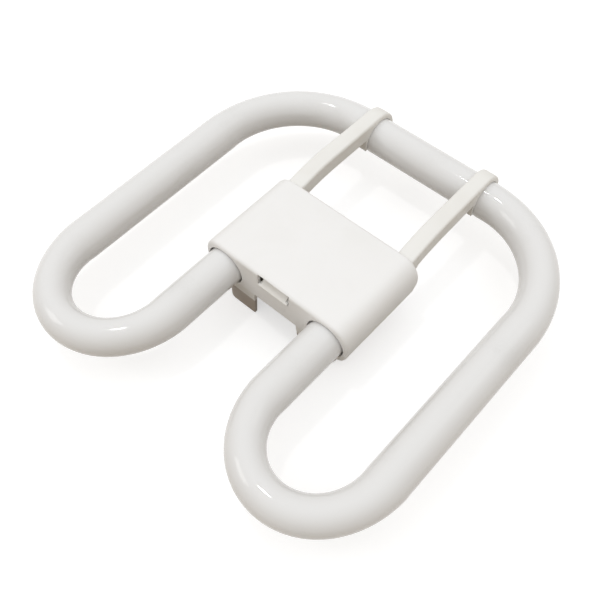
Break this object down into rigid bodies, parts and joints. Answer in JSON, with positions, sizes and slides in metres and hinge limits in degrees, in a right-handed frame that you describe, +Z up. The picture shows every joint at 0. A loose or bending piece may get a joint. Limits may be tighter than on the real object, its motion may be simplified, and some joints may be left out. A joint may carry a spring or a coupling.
{
  "type": "square compact fluorescent lamp",
  "caption": "Flat square compact fluorescent lamp: a white tube bent into a pair of D loops, held by a plug-in cap with clip arms and recessed contact pins.",
  "frame": {"origin": "on the plane the cap's skirt stands on, under the middle of the lamp's bounding box", "axes": "+X to the lamp's right across both loops, +Y from the open side with the legs to the closed back run, +Z up to the cover's flat top"},
  "size_m": [0.2042, 0.2035, 0.0368],
  "materials": {
    "coated_glass": "glossy, opaque white from the coating inside",
    "cover_plastic": "satin, warm white",
    "base_plastic": "satin, slightly creamier white than the cover",
    "pin_metal": "plated, semi-bright",
    "wire_metal": "tinned",
    "sleeve_fibre": "woven, matt",
    "cement": "matt, slightly rough"
  },
  "bodies": {
    "root": {"glass_tube": "coated_glass", "housing_cover": "cover_plastic", "housing_base": "base_plastic", "contact_pin_1": "pin_metal", "contact_pin_2": "pin_metal", "contact_pin_3": "pin_metal", "contact_pin_4": "pin_metal", "lead_wire_1": "wire_metal", "lead_wire_2": "wire_metal", "lead_wire_3": "wire_metal", "lead_wire_4": "wire_metal", "wire_sleeve_1": "sleeve_fibre", "wire_sleeve_2": "sleeve_fibre", "wire_sleeve_3": "sleeve_fibre", "wire_sleeve_4": "sleeve_fibre", "cement_pad_right": "cement", "cement_pad_left": "cement"}
  },
  "joints": []
}
